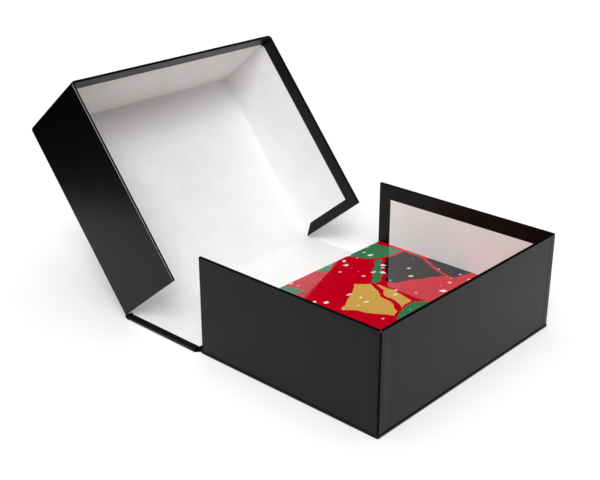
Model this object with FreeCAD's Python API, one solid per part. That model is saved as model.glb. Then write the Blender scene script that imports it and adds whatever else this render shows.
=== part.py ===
import FreeCAD, Part
import math
import os

# Clamshell box for prints and books, shown open with its lid tilted back.
# Three covered boards joined by two cloth hinges carry a lower tray and a larger lid,
# and a closed book lies in the lower tray. Lengths are in millimetres, angles in degrees.
# The origin is the centre of the underside of the base. +X runs from the hinge to the
# fore-edge of the tray, +Y along the spine from tail to head, +Z up.

# Sheet goods
board = 2.5                # greyboard of the base, the spine, the lid and every wall
cloth = 0.4                # black covering
paper = 0.2                # white lining

# Lower tray
tray_width = 222.0         # free ends of the side walls to the outside of the fore wall
tray_length = 280.0        # outside of one side wall to the outside of the other
tray_height = 105.0        # underside of the base to the rim
tray_corner = 1.6          # radius of its upright outer corners

# Fit of the closed box
side_gap = 0.5             # lid lining to tray wall, on three sides
ceiling_gap = 0.5          # tray rim to lid lining
rim_gap = 0.5              # lid rim to the height of the base margin
wall_setback = 0.5         # wall ends behind the hinge edge of their board

# Case
hinge_gap = 7.4            # bare cloth between two boards
lid_rest_angle = 51.0      # lid above the table where it stands open
lid_corner = 4.5           # radius of the upright outer corners of the lid
base_margin = 0.8          # base outside the tray walls, on three sides
base_corner = 2.2          # radius of the outer corners of the base
edge_crush = 0.4           # bevel of a board's edges, pressed in by the cloth
lid_crush = 1.4            # deeper bevel round the outside of the lid board

# Cloth turned in, and the lining that laps over it
tray_turn_in = 17.0        # cloth that shows inside the tray, below the rim
tray_end_turn_in = 16.5    # and beside the free ends of its walls
lid_turn_in = 15.5
lid_end_turn_in = 12.0
lining_lap = 6.0           # cloth hidden behind the edge of a lining
lining_corner = 5.0        # rounded upper corners of the wall linings
lining_foot = 16.0         # height at which a side lining starts to widen to the wall's end
spine_turn_in = 15.0       # cloth turned over the head and tail of the spine
hinge_turn_in = 15.0       # double cloth at both ends of a hinge
lining_gap = 0.3           # hinge lining to the wall linings beside it
tray_valley = 1.4          # dip of the lining over the tray hinge
lid_valley = 0.6           # dip of the lining over the lid hinge
split_gap = 0.3            # hinge strip to the board that turns away from it

# Book in the tray
book_height = 30.0
book_board = 2.5
book_sheet = 0.3           # printed sheet round the boards of the book
book_turn_in = 15.0        # printed sheet turned in under the endpapers
book_setback = 3.0         # hinge edge of the base board to the fore-edge of the book
book_gap = 0.5             # book to the tray linings
book_seat = 0.3            # book above the floor lining
book_square = 3.0          # boards overhang the pages on three sides
book_spine_board = 2.0
book_joint = 7.0           # width of the valley between board and spine
book_corner = 0.8          # radius of the free corners of the book
book_edge = 0.25           # rounding of its top and bottom edges
endpaper = 0.3

# Sizes that follow
rim_width = board + 2 * cloth
wall_depth = rim_width + paper
core_depth = cloth + board
board_top = cloth + board
margin_top = board_top + cloth
floor_top = margin_top + paper
overhang = wall_depth + side_gap
base_length = wall_setback + tray_width + base_margin
base_half = tray_length / 2 + base_margin
lid_length = wall_setback + tray_width + overhang
lid_half = tray_length / 2 + overhang
cloth_middle = cloth / 2
hinge_half = hinge_gap / 2
hinge_span = tray_height + ceiling_gap + floor_top - 2 * cloth_middle
spine_length = hinge_span - hinge_gap
lid_height = hinge_span + 2 * cloth_middle - margin_top - rim_gap
base_edge = -base_length / 2
tray_hinge_x = base_edge - hinge_half
lid_hinge_x = tray_hinge_x - hinge_span
book_start = book_setback
book_end = wall_setback + tray_width - wall_depth - book_gap
book_page_end = book_end - book_spine_board - 2 * book_sheet
book_board_end = book_end - book_sheet - book_spine_board - book_joint
book_half = tray_length / 2 - wall_depth - book_gap
book_half_height = book_height / 2
book_inside = book_half_height - book_board - 2 * book_sheet
book_middle = floor_top + book_seat + book_half_height
near = 0.001


class Leaf:
    """A covered board with three walls. Its hinge edge is at x = 0 and its underside at z = 0."""

    def __init__(self, fore, half, rim, corner, turn_in, end_turn_in, flush, head):
        self.start = wall_setback
        self.fore = fore                  # outside of the fore wall
        self.half = half                  # outside of the side walls
        self.rim = rim
        self.corner = corner
        self.turn_in = turn_in
        self.end_turn_in = end_turn_in
        self.flush = flush                # walls flush with the board's edges, not set in
        self.head = head                  # side of y = 0 on which the head wall is built


tray = Leaf(wall_setback + tray_width, tray_length / 2, tray_height, tray_corner,
            tray_turn_in, tray_end_turn_in, flush=False, head=1)
lid = Leaf(lid_length, lid_half, lid_height, lid_corner,
           lid_turn_in, lid_end_turn_in, flush=True, head=-1)


# Plain solids and edges

def block(x0, x1, y0, y1, z0, z1):
    """Rectangular solid between two opposite corners, in any order."""
    low = FreeCAD.Vector(min(x0, x1), min(y0, y1), min(z0, z1))
    return Part.makeBox(abs(x1 - x0), abs(y1 - y0), abs(z1 - z0), low)


def at(edge, axis, value):
    """Whether both ends of an edge lie at one coordinate."""
    return all(abs(getattr(v.Point, axis) - value) < near for v in edge.Vertexes)


def runs_along(edge, direction):
    """Whether an edge is straight and parallel to a direction."""
    ends = [v.Point for v in edge.Vertexes]
    return len(ends) == 2 and (ends[1] - ends[0]).cross(direction).Length < near


def rounded(solid, radius, chosen):
    """Solid with every chosen edge rounded."""
    return solid.makeFillet(radius, [e for e in solid.Edges if chosen(e)])


def cloth_round(crush):
    """Radius of cloth drawn over an edge of board with that bevel."""
    return crush / (2 - math.sqrt(2)) + cloth


def softened(solid, inset, crush, chosen):
    """Solid with its chosen edges rounded as cloth is, or bevelled as the board inside it."""
    edges = [e for e in solid.Edges if chosen(e)]
    if inset > 0:
        return solid.makeChamfer(crush, edges)
    return solid.makeFillet(cloth_round(crush), edges)


def plate(x1, half, z0, z1, corner):
    """Flat solid from x = 0 to x1 about y = 0, with any rounded corners at x1."""
    up = FreeCAD.Vector(0, 0, 1)
    solid = block(0, x1, -half, half, z0, z1)
    if corner > 0:
        solid = rounded(solid, corner, lambda e: runs_along(e, up) and at(e, "x", x1))
    return solid


def one_solid(shape):
    """The single solid that a cut or a join leaves."""
    return shape.removeSplitter().Solids[0]


def turned(shape):
    """Shape turned half round about the vertical axis."""
    copy = shape.copy()
    copy.rotate(FreeCAD.Vector(0, 0, 0), FreeCAD.Vector(0, 0, 1), 180)
    return copy


# Boards, walls and wall cloth of a leaf

def hollow(leaf, inset):
    """Space between the three walls, and past their free ends, for faces inset by a depth."""
    high = leaf.rim + board
    wide = leaf.half + board
    side = leaf.half - rim_width + inset
    room = block(-board, leaf.fore - rim_width + inset, -side, side, board_top, high)
    ends = block(-board, leaf.start + inset, -wide, wide, board_top, high)
    return room.fuse(ends)


def walled_block(leaf, inset):
    """Board and walls in one: their outside for no inset, the greyboard for one of the cloth."""
    up = FreeCAD.Vector(0, 0, 1)
    low = inset if leaf.flush else board_top
    top = leaf.rim - inset
    end = leaf.start + inset
    solid = plate(leaf.fore - inset, leaf.half - inset, low, top, leaf.corner - inset)
    if leaf.flush:
        solid = softened(solid, inset, lid_crush,
                         lambda e: at(e, "z", low) and not at(e, "x", 0))
    solid = one_solid(solid.cut(hollow(leaf, inset)))
    return softened(solid, inset, edge_crush,
                    lambda e: at(e, "z", top) or (at(e, "x", end) and runs_along(e, up)))


def leaf_cores(leaf):
    """Greyboard of the leaf: fore wall, head wall, tail wall and, where flush, the board."""
    core = walled_block(leaf, cloth)
    wide = leaf.half + board
    inside = leaf.fore - core_depth
    head = leaf.head * wide
    cells = {"fore_wall": block(inside, leaf.fore, -wide, wide, board_top, leaf.rim),
             "head_wall": block(-board, inside, 0, head, board_top, leaf.rim),
             "tail_wall": block(-board, inside, 0, -head, board_top, leaf.rim)}
    if leaf.flush:
        cells["board"] = block(-board, leaf.fore, -wide, wide, 0, board_top)
    return {part: one_solid(core.common(cell)) for part, cell in cells.items()}


def wall_cloth(leaf, cores):
    """Cloth outside the walls, over the rim and the free ends, and turned in."""
    wide = leaf.half + board
    low = cloth if leaf.flush else margin_top
    skin = walled_block(leaf, 0).common(block(-board, leaf.fore, -wide, wide, low, leaf.rim))
    bare = block(leaf.start + leaf.end_turn_in + lining_lap, leaf.fore - core_depth,
                 -leaf.half + core_depth, leaf.half - core_depth,
                 board_top, leaf.rim - leaf.turn_in - lining_lap)
    for piece in list(cores.values()) + [bare]:
        skin = skin.cut(piece)
    return one_solid(skin)


# Linings

def side_lining(leaf, side, wrap):
    """Lining of a side wall, lapped over the turned-in cloth, round at its inner upper corner."""
    across = FreeCAD.Vector(0, 1, 0)
    x0 = leaf.start + leaf.end_turn_in
    x1 = leaf.fore - core_depth
    top = leaf.rim - leaf.turn_in
    face = side * (leaf.half - wall_depth)
    back = side * (leaf.half - core_depth)
    panel = block(x0, x1, face, back, board_top, top)
    panel = rounded(panel, lining_corner + cloth + paper,
                    lambda e: at(e, "z", top) and at(e, "x", x1) and runs_along(e, across))
    corners = [(x0, margin_top), (leaf.start + cloth_round(edge_crush), margin_top),
               (x0, board_top + lining_foot), (x0, margin_top)]
    outline = Part.makePolygon([FreeCAD.Vector(x, face, z) for x, z in corners])
    foot = Part.Face(outline).extrude(FreeCAD.Vector(0, back - face, 0))
    return one_solid(panel.fuse(foot).cut(wrap))


def fore_lining(leaf, wrap):
    """Lining of the fore wall between the side linings, round at both upper corners."""
    outward = FreeCAD.Vector(1, 0, 0)
    half = leaf.half - wall_depth
    top = leaf.rim - leaf.turn_in
    panel = block(leaf.fore - wall_depth, leaf.fore - core_depth, -half, half, board_top, top)
    panel = rounded(panel, lining_corner, lambda e: at(e, "z", top) and runs_along(e, outward))
    return one_solid(panel.cut(wrap))


def floor_lining(leaf):
    """Lining of the floor, from the hinge edge to the wall linings."""
    half = leaf.half - wall_depth
    return block(0, leaf.fore - wall_depth, -half, half, board_top, floor_top)


def leaf_pieces(name, leaf):
    """Every piece of the walls and linings of a leaf, by name."""
    cores = leaf_cores(leaf)
    wrap = wall_cloth(leaf, cores)
    pieces = {name + "_" + part: solid for part, solid in cores.items()}
    pieces[name + "_wall_cloth"] = wrap
    pieces[name + "_fore_lining"] = fore_lining(leaf, wrap)
    pieces[name + "_head_lining"] = side_lining(leaf, leaf.head, wrap)
    pieces[name + "_tail_lining"] = side_lining(leaf, -leaf.head, wrap)
    pieces[name + "_floor_lining"] = floor_lining(leaf)
    return pieces


# Covers of the case

def case_board(x1, half, inset, corner, chosen):
    """Board of the case under its cover, or the outside of the cover for no inset."""
    low = inset
    high = margin_top - inset
    solid = plate(x1, half - inset, low, high, corner)
    return softened(solid, inset, edge_crush,
                    lambda e: (at(e, "z", low) or at(e, "z", high)) and chosen(e))


def base_pieces():
    """Base board, and its cover turned in over the margin as far as the tray walls."""
    def free(edge):
        return not at(edge, "x", 0)

    core = case_board(base_length - cloth, base_half, cloth, base_corner - cloth, free)
    outside = case_board(base_length, base_half, 0, base_corner, free)
    window = plate(tray.fore - cloth, tray.half - cloth, board_top, margin_top,
                   tray.corner - cloth)
    return {"base_board": core, "base_cover": one_solid(outside.cut(core).cut(window))}


def spine_pieces():
    """Spine board, its cover turned over head and tail, and the lining lapped over it."""
    def free(edge):
        return runs_along(edge, FreeCAD.Vector(1, 0, 0))

    core = case_board(spine_length, lid.half, cloth, 0, free)
    outside = case_board(spine_length, lid.half, 0, 0, free)
    window = lid.half - spine_turn_in
    cover = outside.cut(core).cut(block(0, spine_length, -window, window, board_top, margin_top))
    half = tray.half - wall_depth - lining_gap
    lining = block(0, spine_length, -half, half, board_top, floor_top)
    return {"spine_board": core, "spine_cover": one_solid(cover),
            "spine_lining": one_solid(lining.cut(cover))}


def lid_cover():
    """Cover sheet on the outside of the lid board, inside the rounding of its edges."""
    sheet = block(0, lid.fore, -lid.half, lid.half, 0, cloth)
    return one_solid(walled_block(lid, 0).common(sheet))


# Hinges

def hinge_cloth(width, half):
    """Cloth across a hinge, flat from x = 0, with a double thickness at head and tail."""
    sheet = block(0, width, -half, half, 0, cloth)
    for side in (-1, 1):
        end = side * half
        fold = side * (half - hinge_turn_in)
        sheet = sheet.fuse(block(0, width, end, fold, cloth, 2 * cloth))
    return one_solid(sheet)


def bent_hinge_cloth():
    """The same cloth in the round bend that the lid makes with the spine at rest."""
    radius = hinge_half / math.tan(math.radians(lid_rest_angle) / 2)
    turn = lid_rest_angle - math.degrees(split_gap / radius)
    strip = hinge_cloth(hinge_gap, lid.half)
    section = Part.Face(strip.slice(FreeCAD.Vector(1, 0, 0), hinge_half)[0])
    centre = FreeCAD.Vector(hinge_half, 0, cloth_middle + radius)
    bend = section.revolve(centre, FreeCAD.Vector(0, 1, 0), turn)
    bend.translate(FreeCAD.Vector(lid_hinge_x, 0, 0))
    return bend


def valley_strip(start, end, dip, half):
    """Lining across a hinge: a shallow valley between two points, in the direction of +X."""
    along = (end - start).normalize()
    down = FreeCAD.Vector(along.z, 0, -along.x)
    middle = (start + end) / 2 + down * dip
    under = down * paper
    edges = [Part.Arc(start, middle, end).toShape(),
             Part.makeLine(end, end + under),
             Part.Arc(end + under, middle + under, start + under).toShape(),
             Part.makeLine(start + under, start)]
    strip = Part.Face(Part.Wire(edges)).extrude(FreeCAD.Vector(0, 2 * half, 0))
    strip.translate(FreeCAD.Vector(0, -half, 0))
    return strip


def tray_hinge_lining():
    """Lining between the spine and the tray floor, as narrow as the tray inside."""
    start = FreeCAD.Vector(tray_hinge_x - hinge_half, 0, floor_top)
    end = FreeCAD.Vector(base_edge - split_gap, 0, floor_top)
    return valley_strip(start, end, tray_valley, tray.half - wall_depth - lining_gap)


def lid_hinge_lining():
    """Lining between the lid floor and the spine, across the bend at rest."""
    start = lid_point(hinge_half - split_gap, floor_top - cloth_middle)
    end = FreeCAD.Vector(lid_hinge_x + hinge_half, 0, floor_top)
    return valley_strip(start, end, lid_valley, lid.half - wall_depth - lining_gap)


def lid_point(along, off):
    """Place over the table of a point given from the lid hinge, along and off the lid."""
    angle = math.radians(lid_rest_angle)
    return FreeCAD.Vector(lid_hinge_x - along * math.cos(angle) + off * math.sin(angle), 0,
                          cloth_middle + along * math.sin(angle) + off * math.cos(angle))


# Book, built about its middle height

def book_pieces():
    """Closed hardback in the tray, its spine against the fore wall."""
    pieces = {"book_spine_board": book_block(book_page_end + book_sheet, book_end - book_sheet,
                                             book_sheet, book_half_height - book_sheet)}
    for name, side in (("front", 1), ("back", -1)):
        inner = side * (book_inside + book_sheet)
        outer = side * (book_half_height - book_sheet)
        half = book_half - book_sheet
        pieces["book_" + name + "_board"] = block(book_start + book_sheet, book_board_end,
                                                  -half, half, inner, outer)
        pieces["book_" + name + "_endpaper"] = book_endpaper(side)
    pieces["book_cover"] = book_case(pieces)
    pages = book_inside - endpaper
    pieces["book_pages"] = book_block(book_start + book_square, book_page_end, book_square, pages)
    for piece in pieces.values():
        piece.translate(FreeCAD.Vector(0, 0, book_middle))
    return pieces


def book_block(x0, x1, margin, half_height):
    """Block about the middle height, set in from head and tail by a margin."""
    half = book_half - margin
    return block(x0, x1, -half, half, -half_height, half_height)


def book_endpaper(side):
    """Leaf next to a board, pasted to it between the turned-in edges of the cover."""
    half = book_half - book_square
    bare = book_half - book_turn_in
    face = side * book_inside
    leaf = block(book_start + book_square, book_page_end, -half, half,
                 side * (book_inside - endpaper), face)
    paste = block(book_start + book_turn_in, book_board_end, -bare, bare,
                  face, side * (book_inside + book_sheet))
    return one_solid(leaf.fuse(paste))


def book_case(pieces):
    """Printed cover round the boards, turned in, with a round valley along each joint."""
    up = FreeCAD.Vector(0, 0, 1)
    bare = book_turn_in
    case = book_block(book_start, book_end, 0, book_half_height)
    case = rounded(case, book_corner, lambda e: runs_along(e, up) and at(e, "x", book_start))
    case = rounded(case, book_edge, lambda e: at(e, "z", book_half_height)
                   or at(e, "z", -book_half_height))
    case = case.cut(book_block(book_start - board, book_page_end, 0, book_inside))
    case = case.cut(book_block(book_start + bare, book_board_end, bare, book_inside + book_sheet))
    case = case.cut(book_block(book_page_end, book_page_end + book_sheet, bare, book_inside))
    for name in ("front", "back"):
        case = case.cut(pieces["book_" + name + "_board"])
    case = case.cut(pieces["book_spine_board"])
    for side in (-1, 1):
        case = with_joint(case, side)
    return one_solid(case)


def with_joint(case, side):
    """Case with the valley and the thin sheet of the joint on one side."""
    radius = (book_joint ** 2 / 4 + book_board ** 2) / (2 * book_board)
    thin = 2 * book_sheet
    corner = FreeCAD.Vector(book_board_end + book_joint / 2, -book_half,
                            side * (book_half_height - book_board + radius))
    across = FreeCAD.Vector(0, 1, 0)
    valley = Part.makeCylinder(radius, 2 * book_half, corner, across)
    sheet = Part.makeCylinder(radius + thin, 2 * book_half, corner, across)
    under = block(book_board_end, book_board_end + book_joint, -book_half, book_half,
                  side * book_inside, side * book_half_height)
    return case.cut(valley).cut(under.cut(sheet))


# Placing the leaves at rest

def on_base(shape):
    """Shape of the base leaf at its place on the table."""
    shape.translate(FreeCAD.Vector(base_edge, 0, 0))
    return shape


def on_spine(shape):
    """Shape of the spine leaf flat on the table beside the tray hinge."""
    shape = turned(shape)
    shape.translate(FreeCAD.Vector(tray_hinge_x - hinge_half, 0, 0))
    return shape


def on_lid(shape):
    """Shape of the lid leaf, tilted up from the table about the lid hinge."""
    shape = turned(shape)
    shape.translate(FreeCAD.Vector(-hinge_half, 0, -cloth_middle))
    shape.rotate(FreeCAD.Vector(0, 0, 0), FreeCAD.Vector(0, 1, 0), lid_rest_angle)
    shape.translate(FreeCAD.Vector(lid_hinge_x, 0, cloth_middle))
    return shape


def all_pieces():
    """Every piece of the open box, by name."""
    placed = {}
    for leaf_group, place in ((base_pieces(), on_base), (leaf_pieces("tray", tray), on_base),
                              (book_pieces(), on_base), (spine_pieces(), on_spine),
                              (leaf_pieces("lid", lid), on_lid), ({"lid_cover": lid_cover()}, on_lid)):
        for name, shape in leaf_group.items():
            placed[name] = place(shape)
    strip = hinge_cloth(hinge_gap - split_gap, base_half)
    strip.translate(FreeCAD.Vector(tray_hinge_x - hinge_half, 0, 0))
    placed["tray_hinge_cloth"] = strip
    placed["tray_hinge_lining"] = tray_hinge_lining()
    placed["lid_hinge_cloth"] = bent_hinge_cloth()
    placed["lid_hinge_lining"] = lid_hinge_lining()
    return placed


os.makedirs("parts", exist_ok=True)
for name, shape in all_pieces().items():
    shape.exportStep("parts/" + name + ".step")
    print(f"{name}: {len(shape.Solids)} solid, {shape.Volume / 1000:.2f} cm3, "
          f"valid {shape.isValid()}")
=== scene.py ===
import math
import bpy
import bmesh
from mathutils import Euler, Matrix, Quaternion, Vector


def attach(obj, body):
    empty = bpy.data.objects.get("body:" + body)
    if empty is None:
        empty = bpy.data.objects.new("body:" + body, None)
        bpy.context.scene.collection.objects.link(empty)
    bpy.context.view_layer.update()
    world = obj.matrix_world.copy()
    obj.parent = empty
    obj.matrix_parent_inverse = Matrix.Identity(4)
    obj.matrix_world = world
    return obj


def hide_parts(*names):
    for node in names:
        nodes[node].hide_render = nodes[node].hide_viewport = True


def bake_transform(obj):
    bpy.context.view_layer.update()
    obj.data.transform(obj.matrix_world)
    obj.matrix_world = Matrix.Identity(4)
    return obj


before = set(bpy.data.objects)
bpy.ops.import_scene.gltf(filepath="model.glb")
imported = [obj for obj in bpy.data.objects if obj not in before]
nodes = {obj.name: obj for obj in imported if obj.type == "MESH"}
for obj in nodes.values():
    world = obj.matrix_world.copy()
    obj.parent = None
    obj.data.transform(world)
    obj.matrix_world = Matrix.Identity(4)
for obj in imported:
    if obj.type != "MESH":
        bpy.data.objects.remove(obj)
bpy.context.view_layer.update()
print("frame loaded,", len(nodes), "nodes")

# Lengths in the dictionaries are millimetres, as on the drawing of the box.
mm = 0.001

# Where the leaves of the open box turn, in the drawing's own numbers
box = {"baseEdge": -111.65, "trayHingeX": -115.35, "lidHingeX": -223.95, "hingeHalf": 3.7,
       "lidAngle": 51.0, "clothMiddle": 0.2, "cloth": 0.4, "marginTop": 3.3, "floorTop": 3.5,
       "caseHalf": 144.0, "baseHalf": 140.8, "foreFace": 110.85, "trayHalf": 140.0}


def linearColour(hexValue):
    # sRGB hex to the linear values that the shader wants
    parts = [int(hexValue[i:i + 2], 16) / 255 for i in (1, 3, 5)]
    return [c / 12.92 if c <= 0.04045 else ((c + 0.055) / 1.055) ** 2.4 for c in parts] + [1.0]


def addNode(owner, kind, inputs={}, **settings):
    # a number or a colour sets a socket, another node's output is linked to it
    tree = owner.node_tree
    node = tree.nodes.new("ShaderNode" + kind)
    for name, value in settings.items():
        setattr(node, name, value)
    for name, value in inputs.items():
        if isinstance(value, bpy.types.NodeSocket):
            tree.links.new(value, node.inputs[name])
        else:
            node.inputs[name].default_value = value
    return node


def startMaterial(name):
    material = bpy.data.materials.new(name)
    material.use_nodes = True
    material.node_tree.nodes.clear()
    return material


def finishMaterial(material, shader):
    addNode(material, "OutputMaterial", {"Surface": shader.outputs[0]})
    return material


def setRamp(node, stops, interpolation="LINEAR"):
    ramp = node.color_ramp
    ramp.interpolation = interpolation
    while len(ramp.elements) < len(stops):
        ramp.elements.new(1.0)
    for element, (place, colour) in zip(ramp.elements, stops):
        element.position = place
        element.color = linearColour(colour) if isinstance(colour, str) else [colour] * 3 + [1]
    return node


# Materials

# the last four numbers give a glossy copy of the cloth for painted highlights and a dull copy for
# painted shade
bookCloth = {"thread": 0.9, "dark": "#050505", "light": "#0a0909", "roughness": 0.28,
             "specular": 0.18, "tint": (1.0, 0.94, 0.93, 1), "weaveDepth": 0.03, "slubDepth": 0.12,
             "highlightRoughness": 0.22, "highlightSpecular": 0.9,
             "shadeRoughness": 0.6, "shadeSpecular": 0.04}


def makeBookCloth(name, tilt, roughness=bookCloth["roughness"], specular=bookCloth["specular"]):
    # Starched cotton book cloth, dyed black and filled: near black with a soft low sheen.
    # Its threads lie along the edges of the board, so the pattern turns with the board.
    # Real threads stand 0.45 mm apart; they are drawn twice as wide, or they would not show.
    cloth = startMaterial(name)
    place = addNode(cloth, "TexCoord").outputs["Object"]
    along = addNode(cloth, "Mapping", {"Vector": place, "Rotation": (0, math.radians(tilt), 0)})
    threads = []
    for axis in "XYZ":
        # a wave texture's bands are 0.314 m apart at scale 1
        wave = addNode(cloth, "TexWave", {"Vector": along.outputs[0], "Distortion": 0.6,
                                          "Scale": 0.314 / (bookCloth["thread"] * mm),
                                          "Detail": 1.0, "Detail Scale": 3.0},
                       wave_type="BANDS", bands_direction=axis)
        threads.append(wave.outputs["Fac"])
    weave = threads[0]
    for other in threads[1:]:
        weave = addNode(cloth, "Math", {0: weave, 1: other}, operation="MULTIPLY").outputs[0]
    slubs = addNode(cloth, "TexNoise", {"Vector": along.outputs[0], "Scale": 260.0, "Detail": 4.0})
    cloudy = addNode(cloth, "TexNoise", {"Vector": along.outputs[0], "Scale": 14.0, "Detail": 3.0})
    tone = setRamp(addNode(cloth, "ValToRGB", {"Fac": cloudy.outputs["Fac"]}),
                   [(0.3, bookCloth["dark"]), (0.75, bookCloth["light"])])
    shine = addNode(cloth, "MapRange", {"Value": cloudy.outputs["Fac"],
                                        "To Min": roughness - 0.03, "To Max": roughness + 0.03})
    fine = addNode(cloth, "Bump", {"Height": weave, "Strength": bookCloth["weaveDepth"],
                                   "Distance": 0.2 * mm})
    rough = addNode(cloth, "Bump", {"Height": slubs.outputs["Fac"], "Normal": fine.outputs[0],
                                    "Strength": bookCloth["slubDepth"], "Distance": 0.1 * mm})
    return finishMaterial(cloth, addNode(cloth, "BsdfPrincipled", {
        "Base Color": tone.outputs[0], "Roughness": shine.outputs[0],
        "Normal": rough.outputs[0], "IOR": 1.5,
        "Specular IOR Level": specular, "Specular Tint": bookCloth["tint"]}))


liningPaper = {"light": "#f2f2f2", "dark": "#eeeeed", "roughness": 0.75}


def makeLiningPaper(name, tilt):
    # Uncoated white paper on thin card: matte, a little warm, with a faint cloudy formation
    # and a fibre grain that only just catches the light.
    paper = startMaterial(name)
    place = addNode(paper, "TexCoord").outputs["Object"]
    along = addNode(paper, "Mapping", {"Vector": place, "Rotation": (0, math.radians(tilt), 0)})
    cloudy = addNode(paper, "TexNoise", {"Vector": along.outputs[0], "Scale": 35.0, "Detail": 5.0})
    fibres = addNode(paper, "TexNoise", {"Vector": along.outputs[0], "Scale": 900.0, "Detail": 3.0,
                                         "Distortion": 1.5})
    tone = setRamp(addNode(paper, "ValToRGB", {"Fac": cloudy.outputs["Fac"]}),
                   [(0.35, liningPaper["dark"]), (0.65, liningPaper["light"])])
    grain = addNode(paper, "Bump", {"Height": fibres.outputs["Fac"], "Strength": 0.1,
                                    "Distance": 0.1 * mm})
    return finishMaterial(paper, addNode(paper, "BsdfPrincipled", {
        "Base Color": tone.outputs[0], "Roughness": liningPaper["roughness"],
        "Specular IOR Level": 0.35, "Normal": grain.outputs[0]}))


def makeGreyboard():
    # Pressed waste-paper board: dull grey brown with lighter and darker flecks of fibre.
    boardStuff = startMaterial("pressedGreyboard")
    place = addNode(boardStuff, "TexCoord").outputs["Object"]
    flecks = addNode(boardStuff, "TexNoise", {"Vector": place, "Scale": 700.0, "Detail": 6.0})
    tone = setRamp(addNode(boardStuff, "ValToRGB", {"Fac": flecks.outputs["Fac"]}),
                   [(0.3, "#8f8a82"), (0.55, "#a8a299"), (0.8, "#bcb6ac")])
    rough = addNode(boardStuff, "Bump", {"Height": flecks.outputs["Fac"], "Strength": 0.3,
                                         "Distance": 0.1 * mm})
    return finishMaterial(boardStuff, addNode(boardStuff, "BsdfPrincipled", {
        "Base Color": tone.outputs[0], "Roughness": 0.9, "Normal": rough.outputs[0]}))


printSheet = {"ground": "#c3001c", "green": "#3c7850", "ochre": "#d2a550", "black": "#141216",
              "palePink": "#f3d3d0", "white": "#fbf1ee", "chipPitch": 58.0, "gap": 0.028,
              "flakePitch": 8.0, "corner": (47.0, 5.0, 4.0)}


def makeLaminatedPrint():
    # Litho print under a gloss film: full colours below a mirror-smooth clear surface.
    # The design is a plain terrazzo: large rounded chips on red and small pale flakes.
    film = startMaterial("glossLaminatedPrint")
    place = addNode(film, "TexCoord").outputs["Object"]
    moved = addNode(film, "Mapping", {"Vector": place, "Rotation": (0, 0, math.radians(24)),
                                      "Location": [v * mm for v in printSheet["corner"]]})
    wobble = addNode(film, "TexNoise", {"Vector": place, "Scale": 48.0, "Detail": 1.0})
    shift = addNode(film, "VectorMath", {0: wobble.outputs["Color"], "Scale": 0.009},
                    operation="SCALE")
    loose = addNode(film, "VectorMath", {0: moved.outputs[0], 1: shift.outputs[0]},
                    operation="ADD").outputs[0]
    grid = {"Vector": loose, "Randomness": 0.9, "Scale": 1 / (printSheet["chipPitch"] * mm)}
    chips = addNode(film, "TexVoronoi", grid)
    rims = addNode(film, "TexVoronoi", grid, feature="DISTANCE_TO_EDGE")
    pick = addNode(film, "SeparateColor", {"Color": chips.outputs["Color"]})
    colour = setRamp(addNode(film, "ValToRGB", {"Fac": pick.outputs[0]}),
                     [(0.0, printSheet["ground"]), (0.4, printSheet["green"]),
                      (0.6, printSheet["ochre"]), (0.82, printSheet["black"])], "CONSTANT")
    inside = addNode(film, "Math", {0: rims.outputs["Distance"], 1: printSheet["gap"]},
                     operation="GREATER_THAN")
    chipped = addNode(film, "Mix", {"Factor": inside.outputs[0], 7: colour.outputs[0],
                                    6: linearColour(printSheet["ground"])}, data_type="RGBA")
    # the flakes are longer one way, as if strewn, and differ in size
    strewn = addNode(film, "Mapping", {"Vector": loose, "Rotation": (0, 0, math.radians(35)),
                                       "Scale": (1.0, 0.62, 1.0)})
    flakes = addNode(film, "TexVoronoi", {"Vector": strewn.outputs[0], "Randomness": 1.0,
                                          "Scale": 1 / (printSheet["flakePitch"] * mm)},
                     distance="MANHATTAN")
    flakePick = addNode(film, "SeparateColor", {"Color": flakes.outputs["Color"]})
    reach = addNode(film, "MapRange", {"Value": flakePick.outputs[0], "From Min": 0.45,
                                       "To Min": 0.0, "To Max": 0.44})
    isFlake = addNode(film, "Math", {0: flakes.outputs["Distance"], 1: reach.outputs[0]},
                      operation="LESS_THAN")
    flakeColour = setRamp(addNode(film, "ValToRGB", {"Fac": flakePick.outputs[1]}),
                          [(0.0, printSheet["palePink"]), (0.6, printSheet["white"])], "CONSTANT")
    printed = addNode(film, "Mix", {"Factor": isFlake.outputs[0], 6: chipped.outputs[2],
                                    7: flakeColour.outputs[0]}, data_type="RGBA")
    return finishMaterial(film, addNode(film, "BsdfPrincipled", {
        "Base Color": printed.outputs[2], "Roughness": 0.05, "IOR": 1.5}))


def makePageEdges():
    # Trimmed edges of coated book paper: close pale lines along the height of the block.
    # Leaves are 0.12 mm; the lines are drawn 0.7 mm apart so that they show.
    edges = startMaterial("trimmedPageEdges")
    place = addNode(edges, "TexCoord").outputs["Object"]
    leaves = addNode(edges, "TexWave", {"Vector": place, "Scale": 0.314 / (0.7 * mm),
                                        "Distortion": 1.2, "Detail": 3.0, "Detail Scale": 2.0},
                     wave_type="BANDS", bands_direction="Z")
    tone = setRamp(addNode(edges, "ValToRGB", {"Fac": leaves.outputs["Fac"]}),
                   [(0.0, "#b9b3a6"), (0.5, "#ded9cd"), (1.0, "#eeeae0")])
    cut = addNode(edges, "Bump", {"Height": leaves.outputs["Fac"], "Strength": 0.4,
                                  "Distance": 0.15 * mm})
    return finishMaterial(edges, addNode(edges, "BsdfPrincipled", {
        "Base Color": tone.outputs[0], "Roughness": 0.7, "Normal": cut.outputs[0]}))


flatCloth = makeBookCloth("blackBookCloth", 0)
lidCloth = makeBookCloth("blackBookClothLid", box["lidAngle"])
# a glossier, more reflective copy of the cloth: painted highlight, put on rim roundings so that
# they show a bright line
highlightFinish = (bookCloth["highlightRoughness"], bookCloth["highlightSpecular"])
flatHighlightCloth = makeBookCloth("highlightBookCloth", 0, *highlightFinish)
lidHighlightCloth = makeBookCloth("highlightBookClothLid", box["lidAngle"], *highlightFinish)
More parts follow.
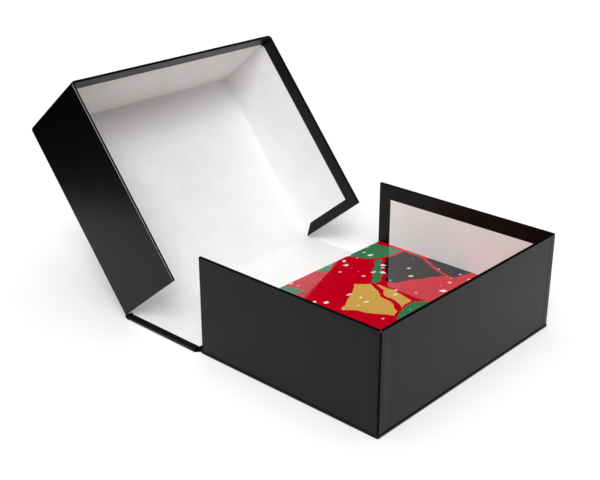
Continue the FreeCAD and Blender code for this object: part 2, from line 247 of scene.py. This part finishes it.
# a dull copy of the cloth that reflects almost nothing: painted shade, keeping rim tops and bent
# corners black
shadeFinish = (bookCloth["shadeRoughness"], bookCloth["shadeSpecular"])
flatShadeCloth = makeBookCloth("shadeBookCloth", 0, *shadeFinish)
lidShadeCloth = makeBookCloth("shadeBookClothLid", box["lidAngle"], *shadeFinish)
flatPaper = makeLiningPaper("whiteLiningPaper", 0)
lidPaper = makeLiningPaper("whiteLiningPaperLid", box["lidAngle"])
greyboard = makeGreyboard()
laminate = makeLaminatedPrint()
pageEdges = makePageEdges()
print("materials made")


def dress(name, material):
    for materialSlot in nodes[name].material_slots:
        materialSlot.material = material


for name in nodes:
    onLid = name.startswith("lid_")
    if name == "book_cover":
        dress(name, laminate)
    elif name == "book_pages":
        dress(name, pageEdges)
    elif name.endswith("cloth") or name.endswith("cover"):
        dress(name, lidCloth if onLid else flatCloth)
    elif name.endswith("lining") or name.endswith("endpaper"):
        dress(name, lidPaper if onLid else flatPaper)
    else:
        dress(name, greyboard)
print("frame nodes dressed")


# Modelling by hand: pick parts by place, then shape them

def selectParts(kind, test):
    # kind is "verts", "edges" or "faces"; test is asked about each part's middle, in mm
    bpy.ops.mesh.select_mode(type={"verts": "VERT", "edges": "EDGE", "faces": "FACE"}[kind])
    bpy.ops.mesh.select_all(action="DESELECT")
    shape = bmesh.from_edit_mesh(bpy.context.object.data)
    for part in getattr(shape, kind):
        corners = [part.co] if kind == "verts" else [v.co for v in part.verts]
        middle = sum(corners, Vector()) / len(corners) / mm
        part.select_set(bool(test(middle)))
    shape.select_flush_mode()
    bmesh.update_edit_mesh(bpy.context.object.data)


def push(x, y, z):
    bpy.ops.transform.translate(value=(x * mm, y * mm, z * mm))


def thicken(piece, thickness, even=True):
    # cloth and paper gain their thickness on the side that their faces look to
    bpy.ops.object.mode_set(mode="OBJECT")
    wall = piece.modifiers.new("thickness", "SOLIDIFY")
    wall.thickness = thickness * mm
    wall.offset = 1
    wall.use_even_offset = even
    bpy.ops.object.modifier_apply(modifier="thickness")


def finishPiece(piece, material, smoothAngle=40, turnFaces=True):
    bpy.ops.object.mode_set(mode="EDIT")
    bpy.ops.mesh.select_all(action="SELECT")
    if turnFaces:
        bpy.ops.mesh.normals_make_consistent(inside=False)
    bpy.ops.object.mode_set(mode="OBJECT")
    bpy.ops.object.shade_smooth_by_angle(angle=math.radians(smoothAngle))
    piece.data.materials.clear()
    piece.data.materials.append(material)
    return piece


def drawStrip(name, path, ends, thickness, trims=()):
    # a sheet pulled through a path of x-z points, thick on the left of the way it goes;
    # each trim is a point and the direction in which the sheet is cut away there
    bpy.ops.object.select_all(action="DESELECT")
    bpy.ops.mesh.primitive_plane_add(size=1.0)
    strip = bpy.context.object
    strip.name = name
    strip.scale = (mm, (ends[1] - ends[0]) * mm, 1)
    strip.location = ((path[0][0] + 0.5) * mm, (ends[0] + ends[1]) / 2 * mm, path[0][1] * mm)
    bpy.ops.object.transform_apply(location=True, rotation=True, scale=True)
    bpy.ops.object.mode_set(mode="EDIT")
    selectParts("verts", lambda middle: middle.x > path[0][0] + 0.5)
    push(path[1][0] - path[0][0] - 1, 0, path[1][1] - path[0][1])
    for start, end in zip(path[1:], path[2:]):
        bpy.ops.mesh.extrude_region_move(TRANSFORM_OT_translate={
            "value": ((end[0] - start[0]) * mm, 0, (end[1] - start[1]) * mm)})
    for place, away in trims:
        bpy.ops.mesh.select_all(action="SELECT")
        bpy.ops.mesh.bisect(plane_co=[v * mm for v in place], plane_no=away, clear_outer=True)
    thicken(strip, thickness)
    return strip


# Hinges: cloth outside, turned in at head and tail, and paper inside

hinge = {"steps": 12, "turnIn": 15.0, "fold": 0.35, "trayPaperHalf": 136.2, "notchHalf": 131.5,
         "lidPaperHalf": 136.4, "headMargin": 0.8, "trayDip": 1.4, "lidDip": 0.6, "paper": 0.2,
         "tuck": 0.25}


def evenly(start, end):
    return [start + (end - start) * i / hinge["steps"] for i in range(hinge["steps"] + 1)]


def lidPoint(along, off):
    # x and z of a point given from the lid's hinge line, along the lid and off its cloth
    turn = math.radians(box["lidAngle"])
    return (box["lidHingeX"] - along * math.cos(turn) + off * math.sin(turn),
            box["clothMiddle"] + along * math.sin(turn) + off * math.cos(turn))


def valley(start, end, dip):
    # points on a round valley between two points, left to right
    chord = math.dist(start, end)
    radius = (chord * chord / 4 + dip * dip) / (2 * dip)
    along = ((end[0] - start[0]) / chord, (end[1] - start[1]) / chord)
    half = math.asin(chord / 2 / radius)
    points = []
    for turn in evenly(-half, half):
        reach = chord / 2 + radius * math.sin(turn)
        deep = radius * math.cos(turn) - radius + dip
        points.append((start[0] + along[0] * reach + along[1] * deep,
                       start[1] + along[1] * reach - along[0] * deep))
    return points


def makeHinge(name, cloth, paper, fold, paperHalf, trims=()):
    half = box["caseHalf"]
    strips = [drawStrip(name + "HingeCloth", cloth, (-half, half), box["cloth"], trims)]
    for side, place in ((-1, "Tail"), (1, "Head")):
        ends = sorted((side * (half - 0.05), side * (half - hinge["turnIn"])))
        strips.append(drawStrip(name + "HingeFold" + place, fold, ends, hinge["fold"], trims))
    for strip in strips:
        bpy.context.view_layer.objects.active = strip
        finishPiece(strip, flatCloth, 60)
    # the lining was pasted nearly flush at the head, which leaves all the margin at the tail
    inset = [((x, y - math.copysign(hinge["headMargin"], y), z), away) for (x, y, z), away in trims]
    sheet = drawStrip(name + "HingePaper", paper, (-paperHalf, half - hinge["headMargin"]),
                      hinge["paper"], inset)
    finishPiece(sheet, flatPaper, 60)
    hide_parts(name + "_hinge_cloth")
    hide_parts(name + "_hinge_lining")
    for strip in strips + [sheet]:
        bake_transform(strip)


def makeTrayHinge():
    left, right = box["trayHingeX"] - box["hingeHalf"], box["baseEdge"]
    top, under = box["floorTop"] - hinge["paper"], box["floorTop"] - hinge["paper"]
    cloth = [(x, 0) for x in evenly(left, right)]
    fold = [(left, under), (left, 1.2), (left + 0.3, 0.6), (left + 1, 0.4), (left + 2.4, 0.4),
            (left + 3.7, 0.4), (left + 5, 0.4), (right - 1, 0.4), (right - 0.3, 0.6),
            (right, 1.2), (right, under)]
    paper = valley((left - hinge["tuck"], top), (right + hinge["tuck"], top), hinge["trayDip"])
    # the base is narrower than the spine, so the ends of the cloth run slanting between them
    step = box["caseHalf"] - box["baseHalf"]
    slant = [((left, side * box["caseHalf"], 0), (step, side * (right - left), 0))
             for side in (-1, 1)]
    makeHinge("tray", cloth, paper, fold, hinge["notchHalf"],
              slant)


def makeLidHinge():
    turn = math.radians(box["lidAngle"])
    radius = box["hingeHalf"] / math.tan(turn / 2)
    right = box["lidHingeX"] + box["hingeHalf"]
    middle = box["clothMiddle"]
    top = box["floorTop"] - hinge["paper"]

    def bend(off, a, b):
        # points on the round bend of the cloth, off its middle towards the inside
        reach = radius - off
        return [(right - reach * math.sin(t), middle + radius - reach * math.cos(t))
                for t in evenly(a, b)]

    cloth = bend(-middle, turn, 0)
    fold = ([lidPoint(box["hingeHalf"], off) for off in (top - middle, 1.0)]
            + bend(middle, turn * 0.93, turn * 0.07) + [(right, 1.2), (right, top)])
    paper = valley(lidPoint(box["hingeHalf"] + hinge["tuck"], top - middle),
                   (right + hinge["tuck"], top), hinge["lidDip"])
    makeHinge("lid", cloth, paper, fold, hinge["lidPaperHalf"])


def makeSpineLining():
    level = box["floorTop"] - hinge["paper"]
    sheet = drawStrip("spineLining", [(box["lidHingeX"] + box["hingeHalf"], level),
                                      (box["trayHingeX"] - box["hingeHalf"], level)],
                      (-hinge["trayPaperHalf"], box["caseHalf"] - hinge["headMargin"]),
                      hinge["paper"])
    finishPiece(sheet, flatPaper)
    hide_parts("spine_lining")
    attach(sheet, "spine")


makeTrayHinge()
makeLidHinge()
makeSpineLining()
print("hinges made")


# Wall cloth: the tab that laps round each corner of the tray, and the folded mitres inside

lap = {"fore": 8.2, "side": 18.0, "thick": 0.16, "slope": 2.8, "bottom": 3.4, "top": 101.5,
       "corner": 1.6}


def copyCloth(name, node, cuts, keep):
    # part of a CAD cloth: each cut is a point and the direction in which it is taken away
    shell = bpy.data.objects.new(name, nodes[node].data.copy())
    bpy.context.collection.objects.link(shell)
    bpy.ops.object.select_all(action="DESELECT")
    bpy.context.view_layer.objects.active = shell
    shell.select_set(True)
    bpy.ops.object.mode_set(mode="EDIT")
    bpy.ops.mesh.select_all(action="SELECT")
    bpy.ops.mesh.remove_doubles(threshold=0.005 * mm)
    bpy.ops.mesh.dissolve_limited(angle_limit=math.radians(0.5))
    bpy.ops.mesh.customdata_custom_splitnormals_clear()
    for place, away in cuts:
        bpy.ops.mesh.select_all(action="SELECT")
        bpy.ops.mesh.bisect(plane_co=[v * mm for v in place], plane_no=away, clear_outer=True)
    selectParts("faces", lambda middle: not keep(middle))
    bpy.ops.mesh.delete(type="FACE")
    return shell


def makeCornerLap(name, side):
    fore, half = box["foreFace"], box["trayHalf"]
    edge = side * (half - lap["fore"])
    tail = fore - lap["side"]
    axis = Vector((fore - lap["corner"], side * (half - lap["corner"]), 0))

    def isOutside(middle):
        if middle.x < axis.x:
            return side * middle.y > half - 0.1
        if side * middle.y < side * axis.y:
            return middle.x > fore - 0.1
        return math.dist(middle.xy, axis.xy) > lap["corner"] - 0.1

    shell = copyCloth(name, "tray_wall_cloth",
                      [((0, edge, 0), (0, -side, 0)), ((tail, 0, 0), (-1, 0, 0)),
                       ((0, 0, lap["bottom"]), (0, 0, -1)), ((0, 0, lap["top"]), (0, 0, 1))],
                      isOutside)
    thicken(shell, lap["thick"], even=False)
    bpy.ops.object.mode_set(mode="EDIT")
    # its edges run out in a slope, as cloth drawn over an edge does
    selectParts("verts", lambda middle: abs(middle.y - edge) < 0.02
                and middle.x < fore + lap["thick"] / 2)
    push(0, -side * lap["slope"], 0)
    selectParts("verts", lambda middle: abs(middle.x - tail) < 0.02
                and side * middle.y < half + lap["thick"] / 2)
    push(-lap["slope"], 0, 0)
    finishPiece(shell, flatCloth, 30)
    # the rounded upright corner of the lap gets the dull copy: painted shade down the corner
    shell.data.materials.append(flatShadeCloth)
    for face in shell.data.polygons:
        if abs(face.normal.x) > 0.2 and abs(face.normal.y) > 0.2:
            face.material_index = 1
    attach(shell, "tray")


# for each leaf: its tilt, rim, inner faces of fore and side walls, and top of the linings
rims = {"tray": (0.0, 105.0, 107.55, 136.7, 88.0),
        "lid": (box["lidAngle"], 105.0, 226.9, 140.7, 89.5)}
# depth of the rim's rounding, how steep its faces are, and where the painted highlight on the lid's
# rim stops towards the head
highlightShadeZones = {"rimDepth": 1.2, "flatTop": 0.97, "upright": 0.1, "corner": 0.15, "highlightEnd": 139.5}


def leafPoint(leaf, along, across, off):
    if leaf == "tray":
        return Vector((along, across, off))
    x, z = lidPoint(along, off)
    return Vector((x, across, z))


def leafUp(tilt):
    return Vector((math.sin(math.radians(tilt)), 0, math.cos(math.radians(tilt))))


def refinish(name, node, leaf, tilt, level, finishes):
    # the cloth again: a glossy copy on the rim's rounding as painted highlight, and a dull copy on
    # top of its rim and in bent corners as painted shade
    up = leafUp(tilt)
    along = leafUp(tilt - 90)
    shell = copyCloth(name, node, (), lambda middle: True)
    finishPiece(shell, finishes[0], 40, turnFaces=False)
    for finish in finishes[1:]:
        shell.data.materials.append(finish)
    for face in shell.data.polygons:
        rise, run, across = face.normal.dot(up), face.normal.dot(along), face.normal.y
        atRim = up.dot(face.center) / mm > level - highlightShadeZones["rimDepth"] and rise > highlightShadeZones["upright"]
        atCorner = min(abs(run), abs(across)) > highlightShadeZones["corner"]
        # where the painted highlight goes: on the tray only at the corners, on the lid along the
        # rim short of the head end
        getsHighlight = atCorner if leaf == "tray" else face.center.y / mm < highlightShadeZones["highlightEnd"]
        if atRim and rise < highlightShadeZones["flatTop"] and getsHighlight:
            face.material_index = 1
        # the rest of the rim, and the tray's corners, get the dull copy: painted shade
        elif atRim or leaf == "tray" and atCorner:
            face.material_index = 2
    # flat faces keep their own direction beside the roundings
    shell.modifiers.new("flats", "WEIGHTED_NORMAL").keep_sharp = True
    bpy.ops.object.modifier_apply(modifier="flats")
    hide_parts(node)
    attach(shell, leaf)


mitre = {"foot": 6.0, "tip": 1.6, "under": 0.9, "thick": 0.3}


def makeMitre(leaf, side, cloth):
    # the spare cloth of each inner corner, folded over on the fore wall below the rim
    rim, inside, half, low = rims[leaf][1:]
    high = rim - mitre["under"]
    corners = [(half - mitre["foot"], low + 0.1), (half - mitre["tip"], high),
               (half - 0.05, high), (half - 0.05, low + 0.1)]
    if (side < 0) != (leaf == "lid"):
        corners.reverse()
    bpy.ops.object.select_all(action="DESELECT")
    bpy.ops.mesh.primitive_plane_add(size=2.0)
    flap = bpy.context.object
    flap.name = leaf + "Mitre" + ("Head" if side > 0 else "Tail")
    bpy.ops.object.mode_set(mode="EDIT")
    for (x, y), (across, off) in zip(((-1, -1), (1, -1), (1, 1), (-1, 1)), corners):
        selectParts("verts", lambda middle: (middle - Vector((x, y, 0)) * 1000).length < 1)
        push(*(leafPoint(leaf, inside, side * across, off) - Vector((x, y, 0)) * 1000))
    thicken(flap, mitre["thick"])
    finishPiece(flap, cloth, 30)
    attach(flap, leaf)


# for each leaf: its cloth, the glossy copy for painted highlights and the dull copy for painted
# shade
finishes = {"tray": (flatCloth, flatHighlightCloth, flatShadeCloth), "lid": (lidCloth, lidHighlightCloth, lidShadeCloth)}
for leaf in finishes:
    tilt, rim = rims[leaf][:2]
    level = leafPoint(leaf, 0, 0, rim).dot(leafUp(tilt))
    refinish(leaf + "WallCloth", leaf + "_wall_cloth", leaf, tilt, level, finishes[leaf])
    for side in (-1, 1):
        makeMitre(leaf, side, finishes[leaf][0])
refinish("spineCover", "spine_cover", "spine", 0, box["marginTop"], finishes["tray"])
makeCornerLap("trayCornerLapTail", -1)
makeCornerLap("trayCornerLapHead", 1)
print("wall cloth finished")

# Stage, light and camera

stageSizes = {"left": -2500, "right": 1200, "front": -950, "back": 3500, "glow": 0.1,
              "edgeThrough": (-174, -536), "edgeFaces": (-0.55, -0.835)}
# soft boxes far off: the way they shine, their strength and how wide they look in degrees
softBoxes = {"keyBox": ((-0.45, 0.55, -0.70), 1.71, 26)}
# bright walls of the tent: where they stand, their strength and how wide they look
tentWalls = {"above": ((0, 0, 1), 1.02, 40), "aboveMiddle": ((0, 0, 1), 0.29, 24),
             "front": ((0, -1, 0.35), 0.28, 40), "frontRight": ((0.7, -0.7, 0.35), 0.41, 40)}
viewPoint = {"place": (580.6, -750.456, 517.946), "yaw": -42.536, "pitch": -23.334,
             "roll": -0.067, "lens": 63.465}


def makeStage():
    # white table, lit from below too, so that shadows on it stay pale
    bpy.ops.object.select_all(action="DESELECT")
    bpy.ops.mesh.primitive_plane_add(size=1.0)
    floor = bpy.context.object
    floor.name = "floor"
    floor.scale = ((stageSizes["right"] - stageSizes["left"]) * mm,
                   (stageSizes["back"] - stageSizes["front"]) * mm, 1)
    floor.location = ((stageSizes["right"] + stageSizes["left"]) / 2 * mm,
                      (stageSizes["back"] + stageSizes["front"]) / 2 * mm, -0.05 * mm)
    bpy.ops.object.transform_apply(location=True, rotation=True, scale=True)
    bpy.ops.object.mode_set(mode="EDIT")
    bpy.ops.mesh.select_all(action="SELECT")
    bpy.ops.mesh.bisect(plane_co=[v * mm for v in stageSizes["edgeThrough"]] + [0],
                        plane_no=(*stageSizes["edgeFaces"], 0), clear_outer=True)
    bpy.ops.object.mode_set(mode="OBJECT")
    white = startMaterial("whiteTable")
    finishMaterial(white, addNode(white, "BsdfPrincipled", {
        "Base Color": linearColour("#fcfcfc"), "Roughness": 0.9, "Specular IOR Level": 0.1,
        "Emission Color": (1, 1, 1, 1), "Emission Strength": stageSizes["glow"]}))
    floor.data.materials.append(white)


def makeLight():
    for name, (towards, strength, width) in softBoxes.items():
        lamp = bpy.data.lights.new(name, "SUN")
        lamp.energy = strength
        lamp.angle = math.radians(width)
        stand = bpy.data.objects.new(name, lamp)
        stand.rotation_euler = Vector(towards).to_track_quat("-Z", "Y").to_euler()
        bpy.context.collection.objects.link(stand)
    world = bpy.data.worlds.new("lightTent")
    world.use_nodes = True
    world.node_tree.nodes.clear()
    towards = addNode(world, "TexCoord").outputs["Generated"]
    total = 0.0
    for place, strength, reach in tentWalls.values():
        facing = addNode(world, "VectorMath", {0: towards, 1: Vector(place).normalized()},
                         operation="DOT_PRODUCT")
        patch = addNode(world, "MapRange", {"Value": facing.outputs["Value"],
                                            "From Min": math.cos(math.radians(reach + 12)),
                                            "From Max": math.cos(math.radians(reach - 12)),
                                            "To Max": strength}, interpolation_type="SMOOTHSTEP")
        total = addNode(world, "Math", {0: total, 1: patch.outputs[0]}).outputs[0]
    # the picture's own background is plain white
    seen = addNode(world, "Background", {"Color": (1, 1, 1, 1), "Strength": 1.0})
    lit = addNode(world, "Background", {"Color": (1, 1, 1, 1), "Strength": total})
    eye = addNode(world, "LightPath")
    both = addNode(world, "MixShader", {0: eye.outputs["Is Camera Ray"], 1: lit.outputs[0],
                                        2: seen.outputs[0]})
    addNode(world, "OutputWorld", {"Surface": both.outputs[0]})
    bpy.context.scene.world = world


def makeCamera():
    lens = bpy.data.cameras.new("camera")
    lens.lens = viewPoint["lens"]
    lens.sensor_width = 36
    lens.clip_end = 20
    camera = bpy.data.objects.new("camera", lens)
    camera.location = [v * mm for v in viewPoint["place"]]
    turn = Euler((math.radians(90 + viewPoint["pitch"]), 0, math.radians(-viewPoint["yaw"])))
    roll = Quaternion((0, 0, 1), math.radians(viewPoint["roll"]))
    camera.rotation_euler = (turn.to_quaternion() @ roll).to_euler()
    bpy.context.collection.objects.link(camera)
    bpy.context.scene.camera = camera
    bpy.context.scene.view_settings.view_transform = "Standard"


makeStage()
makeLight()
makeCamera()
print("stage, light and camera set")
